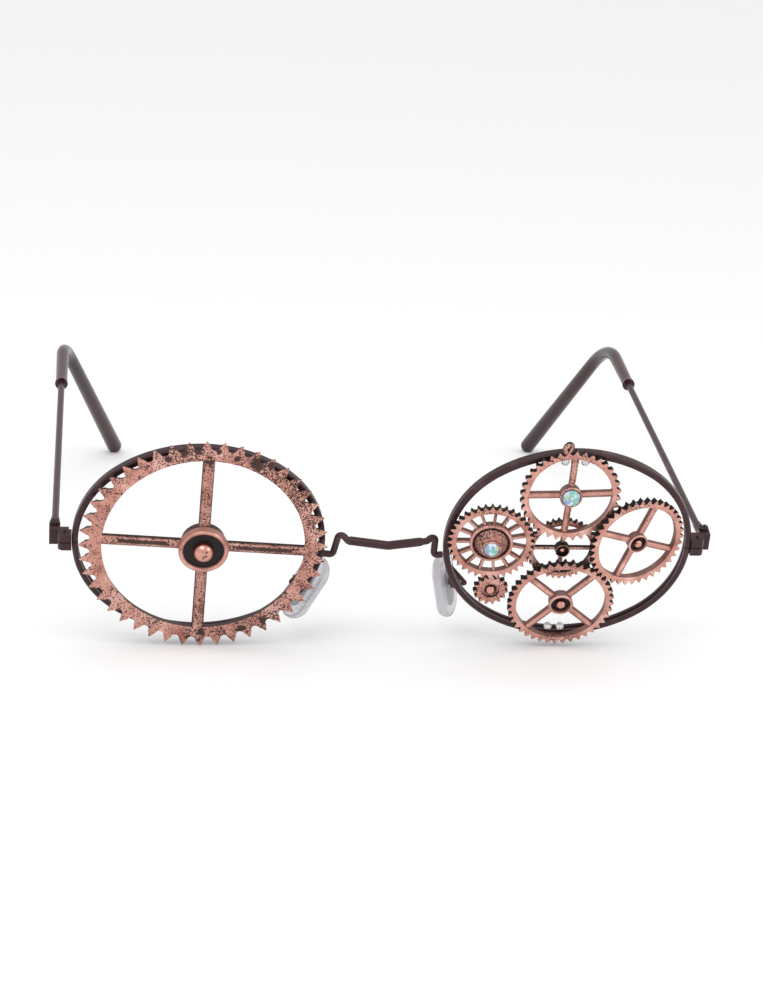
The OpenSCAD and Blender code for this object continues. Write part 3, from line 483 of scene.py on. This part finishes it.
# One pitch of teeth is drawn, and the ring repeats it Teeth times, starting at First.
pitches, use = group("tooth ring", {
    "Pitch": "Geometry", "Teeth": "Int", "First": "Float", "Paint": "Material"})
pitch_angle = use["Teeth"].math("POWER", -1.0) * (2 * math.pi)
turn = (use["Teeth"].node("GeometryNodeInputIndex") + 0.5) * pitch_angle + use["First"]
ring = turn.node("GeometryNodeInstanceOnPoints", {
    "Points": turn.node("GeometryNodePoints", {"Count": use["Teeth"]}), "Instance": use["Pitch"],
    "Rotation": turn.node("ShaderNodeCombineXYZ", {"Z": turn})})
ring = ring.node("GeometryNodeRealizeInstances", {0: ring})
ring = ring.node("GeometryNodeMergeByDistance", {"Geometry": ring, "Distance": 0.001})
finish_group(ring, use["Paint"])

# Bevel of the front edges
EDGE = 0.1
# Shares of the pitch: radius of the root, half the gap at the tips, undercut of the flank
ROOT_SHARE, TIP_SHARE, HOLLOW_SHARE = 0.24, 0.475, 0.02
# Shares of the flank, from the root: where it is undercut, and where the worn tip starts
HOLLOW_AT, TIP_FROM = 0.45, 0.96


def gap_outline(radius, teeth, tooth, inset):
    """Half the outline of a gap, from its root to the middle of a tooth tip, set in by the inset."""
    pitch = 2 * math.pi * radius / teeth
    root = ROOT_SHARE * pitch
    middle = radius - tooth + root
    half = TIP_SHARE * pitch
    along = Vector((radius - middle, half - root)).normalized()
    off = Vector((-along.y, along.x)) * inset
    points = [Vector((middle - (root + inset) * math.cos(a), (root + inset) * math.sin(a)))
              for a in (0, math.pi / 6, math.pi / 3, math.pi / 2)]
    low, high = Vector((middle, root)) + off, Vector((radius, half)) + off
    slope = math.tan(math.pi / teeth)
    reach = (slope * low.x - low.y) / ((high.y - low.y) - slope * (high.x - low.x))
    reach = min(reach, 1.0)
    points.append(low + (high - low) * HOLLOW_AT * reach - Vector((HOLLOW_SHARE * pitch, 0)))
    points.append(low + (high - low) * TIP_FROM * reach)
    crest = (low + (high - low) * reach).length
    points.append(Vector((crest * math.cos(math.pi / teeth), crest * math.sin(math.pi / teeth))))
    return points


def tooth_ring(size, first):
    """Toothed ring in the gear's own millimetres, its back on z = 0."""
    inner, thick, draft = size["radius"] - size["tooth"] - size["rim"], size["thick"], size["draft"]
    outlines = []
    for inset in (draft, 0.0, EDGE):
        half = gap_outline(size["radius"], size["teeth"], size["tooth"], inset)
        outlines.append([Vector((v.x, -v.y)) for v in half[:0:-1]] + half)
    verts, faces = [], []
    for back, front, top in zip(*outlines):
        ray = front.normalized()
        for v, z in ((back, 0), (front, thick - EDGE), (top, thick), (ray * (inner + EDGE), thick),
                     (ray * inner, thick - EDGE), (ray * (inner + draft * 0.6), 0)):
            verts.append((v.x, v.y, z))
    for k in range(len(outlines[0]) - 1):
        for j in range(6):
            m = (j + 1) % 6
            faces.append((k * 6 + j, k * 6 + m, k * 6 + 6 + m, k * 6 + 6 + j))
    mesh = bpy.data.meshes.new("pitch")
    mesh.from_pydata(verts, [], faces)
    return build(pitches, mesh, Teeth=size["teeth"], First=math.radians(first))


def lathe(bm, profile, around=56):
    """Closed turned solid: radius and height of its profile, from the axis to the axis."""
    rings = []
    for r, z in profile:
        turns = [2 * math.pi * k / around for k in range(1 if r == 0 else around)]
        rings.append([bm.verts.new((r * math.cos(a), r * math.sin(a), z)) for a in turns])
    for low, high in zip(rings, rings[1:]):
        for k in range(around):
            corners = [low[k % len(low)], low[(k + 1) % len(low)],
                       high[(k + 1) % len(high)], high[k % len(high)]]
            bm.faces.new(list(dict.fromkeys(corners)))


def spoke(bm, angle, start, end, size):
    """Spoke with a half-round front and drafted sides, flared where it meets the ring."""
    half, draft, web = size["spoke_width"] / 2, size["draft"], size["web"]
    base = size["spoke_height"] - half
    c, s = math.cos(math.radians(angle)), math.sin(math.radians(angle))
    rings = []
    for x, flare in ((start, 0.0), (end - web, 0.0), (end - web * 0.45, web * 0.3), (end, web)):
        outline = [(-half - flare + draft, 0), (-half - flare, base)]
        outline += [(-half * math.cos(a), base + half * math.sin(a))
                    for a in (math.pi / 8, math.pi / 4, math.pi / 2, math.pi * 3 / 4, math.pi * 7 / 8)]
        outline += [(half + flare, base), (half + flare - draft, 0)]
        rings.append([bm.verts.new((x * c - y * s, x * s + y * c, z)) for y, z in outline])
    loft(bm, rings)


def gear_place(x, y, z, tilt=0.0, turn=0.0):
    """Place of a gear: the middle of its back, leant back by the tilt and turned across by the turn."""
    face = Matrix(((1, 0, 0), (0, 0, -1), (0, 1, 0)))
    rot = Matrix.Rotation(math.radians(turn), 3, "Z") @ Matrix.Rotation(math.radians(tilt), 3, "X") @ face
    return to_row @ Matrix.Translation((x, y, z)) @ rot.to_4x4()


def set_piece(name, bm, place, paint, node):
    mesh = bpy.data.meshes.new(name)
    bm.to_mesh(mesh)
    bm.free()
    mesh.materials.clear()
    mesh.materials.append(paint)
    mesh.transform(place)
    return stand_in(name, mesh, node, "front")


def cast_gear(name, node, place, paint, size, spokes, hub, first, extra=None):
    """spokes: their angles. hub: its turned profile. first: angle of the first tooth."""
    bm = bmesh.new()
    bm.from_mesh(tooth_ring(size, first))
    spoke_end = size["radius"] - size["tooth"] - size["rim"] * 0.6
    for angle in spokes:
        spoke(bm, angle, max(r for r, z in hub) * 0.8, spoke_end, size)
    lathe(bm, hub)
    if extra:
        extra(bm)
    return set_piece(name, bm, place, paint, node)


LARGE = {"radius": 23.55, "teeth": 44, "tooth": 2.05, "rim": 2.3, "thick": 1.7, "draft": 0.75,
         "spoke_width": 2.3, "spoke_height": 2.1, "web": 1.1}
SPOKES = (-3.5, 88.5, 176.5, 268.5)
HUB_FOOT, HUB, HUB_TOP = 4.2, 4.45, 2.2
large_place = gear_place(-34.6, -0.97, 0.38)
# Angle and radius on the face, then size, and for crowds of pits how much denser they are
STAINS = [
    (63, 21.1, 1.8), (94, 21.6, 1.2), (101, 21.2, 1.1), (84, 21.4, 0.7), (110, 20.8, 0.9), (74, 20.6, 0.8),
    (-68, 21, 1.1), (-55, 21.2, 1.2), (-90, 20.2, 1.2), (88, 19.2, 1.1), (-96, 21.6, 0.8), (57, 21.9, 1.0),
]
CROWDS = [
    (44, 21, 8.0, 0.8), (24, 21, 7.0, 0.5), (64, 21, 5.0, 0.6), (101, 21, 6.0, 0.8), (-86, 21, 8.0, 0.4),
    (-55, 21, 8.0, 0.6), (-25, 21, 7.0, 0.3), (-2, 21, 6.0, 0.4), (88.5, 12, 8.5, 0.3),
    (-91.5, 12, 8.5, 0.3), (-125, 21, 7.0, 0.3), (-3.5, 12, 8.5, 0.3), (176.5, 12, 8.5, 0.3),
]
# Lines along two spokes: the spoke's angle, the line's angle off it and half length
STREAKS = [(-3.5, 1.2, 6.8), (176.5, -1.4, 6.2)]
STREAK_AT, STREAK_HALF_WIDTH = 11.5, 0.42


def large_spot(angle, radius):
    """Point of the large gear's face."""
    a = math.radians(angle)
    return large_place @ Vector((radius * math.cos(a), radius * math.sin(a), LARGE["thick"]))


stains = [(large_spot(angle, radius), size) for angle, radius, size in STAINS]
crowds = [(large_spot(angle, radius), size, more) for angle, radius, size, more in CROWDS]
streaks = []
for angle, off, half_length in STREAKS:
    along = row_dir(math.cos(math.radians(angle)), 0, math.sin(math.radians(angle)))
    streaks.append((large_spot(angle + off, STREAK_AT), along, half_length, STREAK_HALF_WIDTH))
large_paint = copper("large_copper", large_place, wall=0.9, specks=2.0, zones=crowds, stains=stains,
                     streaks=streaks)
cast_gear("large_cast_gear", "large_gear", large_place, large_paint, LARGE, SPOKES,
          hub=[(0, 0), (HUB_FOOT, 0), (HUB, HUB_TOP), (0, HUB_TOP)], first=90)


# Hub of the large gear
# A turned copper collar stands on the hub. Its well is filled with black enamel, and a polished
# copper dome is riveted through the middle.
COLLAR, WELL, WELL_FLOOR = 4.75, 3.85, 3.15
COLLAR_PROFILE = [
    (0, HUB_TOP), (COLLAR, HUB_TOP), (COLLAR, 3.35), (COLLAR - 0.1, 3.6), (COLLAR - 0.35, 3.76),
    (COLLAR - 0.62, 3.7), (WELL + 0.04, 3.5), (WELL, 3.4), (WELL, WELL_FLOOR), (0, WELL_FLOOR),
]
bm = bmesh.new()
lathe(bm, COLLAR_PROFILE)
collar_paint = copper("collar_copper", large_place, wall=0.35, specks=0.7, enamel=WELL + 0.05,
                      zones=[(large_spot(-90, 4.6), 3, 1.2)])
set_piece("turned_collar", bm, large_place, collar_paint, "large_hub_collar")

# Polished copper with random dark brown patches, which are painted dark reflections.
BRIGHT, PAINTED_REFLECTION = rgb(214, 158, 144), rgb(120, 76, 70)
dome_paint, shader, p, n = material("polished_domes")
cloud = p.noise(900, 2, 0.5)
feed(shader, Base_Color=cloud.step(0.56, 0.7).mix(BRIGHT, PAINTED_REFLECTION), Metallic=1.0, Roughness=0.24,
     Normal=cloud.bump(0.25, 0.2 * MM))

# Height of a rivet's dome as a share of its radius, and the angles at which the dome is turned
DOME_SHARE = 0.92
DOME_ANGLES = (0, 0.3, 0.6, 0.9, 1.2, 1.42)
# Thickness of a rivet's flat tail, and the tail's radius as a share of the shank's
TAIL, TAIL_SHARE = 0.35, 1.6


def rivet(name, node, place, head, base, neck, shank):
    """Domed rivet: a head on its neck over the base, a shank and a flat tail."""
    crown = base + neck
    tail = shank * TAIL_SHARE
    profile = [(0, -TAIL), (tail, -TAIL), (tail, 0), (shank, 0), (shank, base), (head, base)]
    profile += [(head * math.cos(a), crown + head * DOME_SHARE * math.sin(a)) for a in DOME_ANGLES]
    bm = bmesh.new()
    lathe(bm, profile + [(0, crown + head * DOME_SHARE)])
    set_piece(name, bm, place, dome_paint, node)


rivet("polished_dome", "large_hub_rivet", large_place, head=2.0, base=WELL_FLOOR, neck=0.45, shank=1.0)


# Top gear
# Uppermost of six smaller castings over the viewer's right eyewire, soldered where they touch. It
# leans on the eyewire and the back gear, keeps a cast loop to hang it by and has a cut stone of
# opal glass, with mint, blue and white flakes, in its hub.
SMALL = {"tooth": 0.85, "rim": 0.85, "thick": 1.6, "draft": 0.12, "spoke_width": 1.3, "spoke_height": 1.35,
         "web": 0.6}
# A gear that leans on the eyewire and the back gear rises 1.25 mm over 14.5 mm
LEAN = math.degrees(math.atan(1.25 / 14.5))
TOP_AT, FAN_AT = (34.3, -1.711, 12.8), (20.25, -1.652, 2.0)
# The teeth of the top and the fan gear are set on the line between the two
MESH_ANGLE = math.degrees(math.atan2(FAN_AT[2] - TOP_AT[2], FAN_AT[0] - TOP_AT[0]))
# Middle of the loop, seen from the gear's, and the loop's turn in degrees, radius and wire
LOOP_AT, LOOP_TURN = (-1.2, 9.95, 0.8), 32
LOOP, LOOP_WIRE = 0.85, 0.5
LOOP_STEPS, LOOP_AROUND = 28, 12


def pit_hub(pit, depth, height, outer):
    """Profile of a hub with a round pit in its front."""
    return [(0, 0), (outer - 0.15, 0), (outer, height - 0.15), (outer - 0.15, height), (pit + 0.1, height),
            (pit, height - 0.12), (pit, height - depth), (0, height - depth)]


def face_spot(at, x, z, face=-3):
    """Point in front of a gear: x to the right of its middle and z above it."""
    return row(at[0] + x, face, at[2] + z)


def hanging_loop(bm):
    place = Matrix.Translation(LOOP_AT) @ Matrix.Rotation(math.radians(LOOP_TURN), 4, "Y")
    rings = []
    for k in range(LOOP_STEPS):
        a = 2 * math.pi * k / LOOP_STEPS
        ring = []
        for j in range(LOOP_AROUND):
            b = 2 * math.pi * j / LOOP_AROUND
            r = LOOP + LOOP_WIRE * math.cos(b)
            v = Vector((r * math.cos(a), r * math.sin(a), LOOP_WIRE * math.sin(b)))
            ring.append(bm.verts.new(place @ v))
        rings.append(ring)
    for k, ring in enumerate(rings):
        after = rings[(k + 1) % LOOP_STEPS]
        for j in range(LOOP_AROUND):
            m = (j + 1) % LOOP_AROUND
            bm.faces.new((ring[j], ring[m], after[m], after[j]))


top_place = gear_place(*TOP_AT, tilt=-LEAN)
top_paint = copper("top_copper", top_place, specks=1.0, inside=8.3,
                   zones=[(face_spot(TOP_AT, 0, 8.7), 8, 1.1), (face_spot(TOP_AT, 0, 0), 6, 0.6)])
cast_gear("top_cast_gear", "top_gear", top_place, top_paint, {**SMALL, "radius": 9.65, "teeth": 36},
          spokes=(3, 87.5, 181.5, 267), hub=pit_hub(pit=1.78, depth=0.35, height=2.05, outer=2.15),
          first=MESH_ANGLE, extra=hanging_loop)

opal, shader, p, n = material("opal_glass")
flake = p.node("ShaderNodeTexVoronoi", {"Vector": p, "Scale": 1500}, out=1)
pick, pick_more = (flake.node("ShaderNodeSeparateColor", {0: flake}, out=k) for k in (0, 1))
tint = pick.step(0.3, 0.4).mix(rgb(112, 176, 188), rgb(204, 216, 226))
tint = pick.step(0.62, 0.7).mix(tint, rgb(138, 160, 200))
tint = pick_more.step(0.66, 0.72).mix(tint, rgb(126, 194, 172))
tint = pick_more.step(0.93, 0.96).mix(tint, rgb(190, 196, 150))
feed(shader, Base_Color=tint, Roughness=0.15, Coat_Weight=1.0, Coat_Roughness=0.03)

# Share of the stone's radius and height of each row of corners, from its back to its table
STONE_ROWS = ((0.62, 0.0), (1.0, 0.3), (1.0, 0.5), (0.84, 0.85), (0.5, 1.05))
STONE_AROUND = 12


def cut_stone(name, node, place, radius, base):
    """Stone with a girdle, two rows of crown facets and a flat table."""
    bm = bmesh.new()
    rings = []
    for k, (share, z) in enumerate(STONE_ROWS):
        turns = [2 * math.pi * (i + k * 0.5) / STONE_AROUND for i in range(STONE_AROUND)]
        rings.append([bm.verts.new((share * radius * math.cos(a), share * radius * math.sin(a), base + z))
                      for a in turns])
    for low, high in zip(rings, rings[1:]):
        for i in range(STONE_AROUND):
            m = (i + 1) % STONE_AROUND
            bm.faces.new((low[i], low[m], high[i]))
            bm.faces.new((low[m], high[m], high[i]))
    bm.faces.new(rings[0])
    bm.faces.new(rings[-1])
    stone = set_piece(name, bm, place, opal, node)
    for face in stone.data.polygons:
        face.use_smooth = False


cut_stone("top_cut_stone", "top_stone", top_place, radius=1.72, base=1.71)


# Fan gear
# Casting with fifteen thin spokes round a wide hub of black enamel. A turned copper boss stands
# in the hub, and a second stone is set low in the boss.
FAN = {**SMALL, "radius": 8.35, "teeth": 36, "spoke_width": 0.6, "web": 0.25}
FAN_SPOKES, FAN_FIRST = 15, 87
fan_place = gear_place(*FAN_AT, turn=-4.67)
fan_paint = copper("fan_copper", fan_place, specks=0.9, enamel=3.6, inside=7.0,
                   zones=[(face_spot(FAN_AT, 0, 7.5), 7, 1.2)])
cast_gear("fan_cast_gear", "fan_gear", fan_place, fan_paint, FAN,
          spokes=[FAN_FIRST + 360 / FAN_SPOKES * k for k in range(FAN_SPOKES)],
          hub=pit_hub(pit=3.55, depth=0.6, height=1.75, outer=4.15), first=MESH_ANGLE + 185)
dress(copper("fan_boss_copper", fan_place, wall=0.5, specks=2.2), "fan_boss")
cut_stone("fan_cut_stone", "fan_stone", fan_place, radius=1.52, base=3.18)


# Bottom gear
# The widest of the six castings. It leans the other way from the top gear and has a small ball
# rivet in the enamelled pit of its hub.
BOTTOM_AT = (34.9, -1.78, -12.0)
bottom_place = gear_place(*BOTTOM_AT, tilt=LEAN)
bottom_paint = copper("bottom_copper", bottom_place, specks=0.9, enamel=1.9, inside=9.1,
                      zones=[(face_spot(BOTTOM_AT, 0, 9), 8, 0.9), (face_spot(BOTTOM_AT, 0.1, -9.5), 5, 1.3)])
cast_gear("bottom_cast_gear", "bottom_gear", bottom_place, bottom_paint,
          {**SMALL, "radius": 10.4, "teeth": 40}, spokes=(48, 138, 228, 318),
          hub=pit_hub(pit=1.85, depth=0.7, height=1.95, outer=2.4), first=90)
rivet("bottom_ball", "bottom_rivet", bottom_place, head=0.95, base=1.25, neck=0.3, shank=0.5)


# Side gear
# Casting that stands across the others, turned towards the temple, with a ball rivet in its hub.
# It is placed by the middle of its face.
SIDE_AT, SIDE_TURN = (48.23, -3.9, 2.75), 15
side_place = gear_place(*SIDE_AT, turn=SIDE_TURN) @ Matrix.Translation((0, 0, -SMALL["thick"]))
side_paint = copper("side_copper", side_place, specks=0.9, enamel=1.65, inside=8.4,
                    zones=[(face_spot(SIDE_AT, -2.23, 8.75, face=-4), 7, 1.0)])
cast_gear("side_cast_gear", "side_gear", side_place, side_paint, {**SMALL, "radius": 9.75, "teeth": 40},
          spokes=(67.5, 157.5, 247.5, 337.5), hub=pit_hub(pit=1.6, depth=0.7, height=1.95, outer=2.0),
          first=90)
rivet("side_ball", "side_rivet", side_place, head=0.85, base=1.25, neck=0.3, shank=0.45)


# Pinion and back gear
# The small pinion and the gear behind the cluster are castings too, heavily pitted, with black
# hubs and bright rivets.
dress(copper("pinion_copper", gear_place(21.2, -2, -10), specks=2.0, enamel=1.1), "pinion_gear")
dress(copper("back_copper", gear_place(34.1, -2, 0), specks=2.2, enamel=1.2), "back_gear")
dress(dome_paint, "pinion_rivet", "back_rivet")


# Set glue
# Clear beads that hold the cluster to the back of its eyewire, at the top and at the bottom, set
# hard and glossy.
glue, shader, p, n = material("clear_adhesive")
feed(shader, Base_Color=rgb(225, 225, 222), Roughness=0.05, Transmission_Weight=0.95, IOR=1.48)
dress(glue, "adhesive_beads")


# Table
# Wide matt white sheet, on which the spectacles lie on the teeth of two gears and on both ear
# ends.
TABLE_HALF = 3.0
table_mesh = bpy.data.meshes.new("floor")
bm = bmesh.new()
bmesh.ops.create_grid(bm, x_segments=1, y_segments=1, size=TABLE_HALF)
bm.to_mesh(table_mesh)
bm.free()
table = bpy.data.objects.new("floor", table_mesh)
link(table)
white, shader, p, n = material("floor_white")
feed(shader, Base_Color=(0.97, 0.97, 0.97, 1), Roughness=0.9)
table_mesh.materials.append(white)


# Light
# An even white surround gives nearly all the light. A soft lamp at the upper left and a weaker
# one at the right add the sheen on the wires and domes.
SURROUND = 0.9
world = bpy.data.worlds.new("world")
world.use_nodes = True
background = world.node_tree.nodes["Background"]
background.inputs["Color"].default_value = (1.0, 1.0, 1.0, 1)
background.inputs["Strength"].default_value = SURROUND
bpy.context.scene.world = world


def lamp(name, place, target, width, depth, power):
    data = bpy.data.lights.new(name, "AREA")
    data.shape = "RECTANGLE"
    data.size, data.size_y = width, depth
    data.energy = power
    light = bpy.data.objects.new(name, data)
    link(light)
    light.location = place
    light.rotation_euler = (Vector(target) - Vector(place)).to_track_quat("-Z", "Y").to_euler()


lamp("key", (-0.25, -0.35, 0.6), target=(0, 0, 0), width=0.5, depth=0.35, power=1.1)
lamp("fill", (0.45, -0.3, 0.35), target=(0, 0, 0.02), width=0.3, depth=0.3, power=0.5)


# Camera
# Stands where the photograph was taken from, in front of the viewer's left eyewire and above it.
# The focal length is in pixels of a picture 1000 pixels high.
FOCAL_PX, PICTURE_PX, SENSOR = 2951.8, 1000, 36.0
CAMERA_AT = row(-58.80, -458.30, 322.75)
cam_right = row_dir(0.99460, -0.07949, 0.06675)
cam_up = row_dir(-0.01020, 0.56508, 0.82497)
cam_data = bpy.data.cameras.new("camera")
cam_data.sensor_fit = "AUTO"
cam_data.sensor_width = SENSOR
cam_data.lens = FOCAL_PX / PICTURE_PX * SENSOR
cam_data.clip_start, cam_data.clip_end = 0.01, 10
cam = bpy.data.objects.new("camera", cam_data)
link(cam)
cam_rot = Matrix((cam_right, cam_up, cam_right.cross(cam_up))).transposed()
cam.matrix_world = Matrix.Translation(CAMERA_AT) @ cam_rot.to_4x4()
bpy.context.scene.camera = cam
bpy.context.scene.view_settings.view_transform = "Standard"
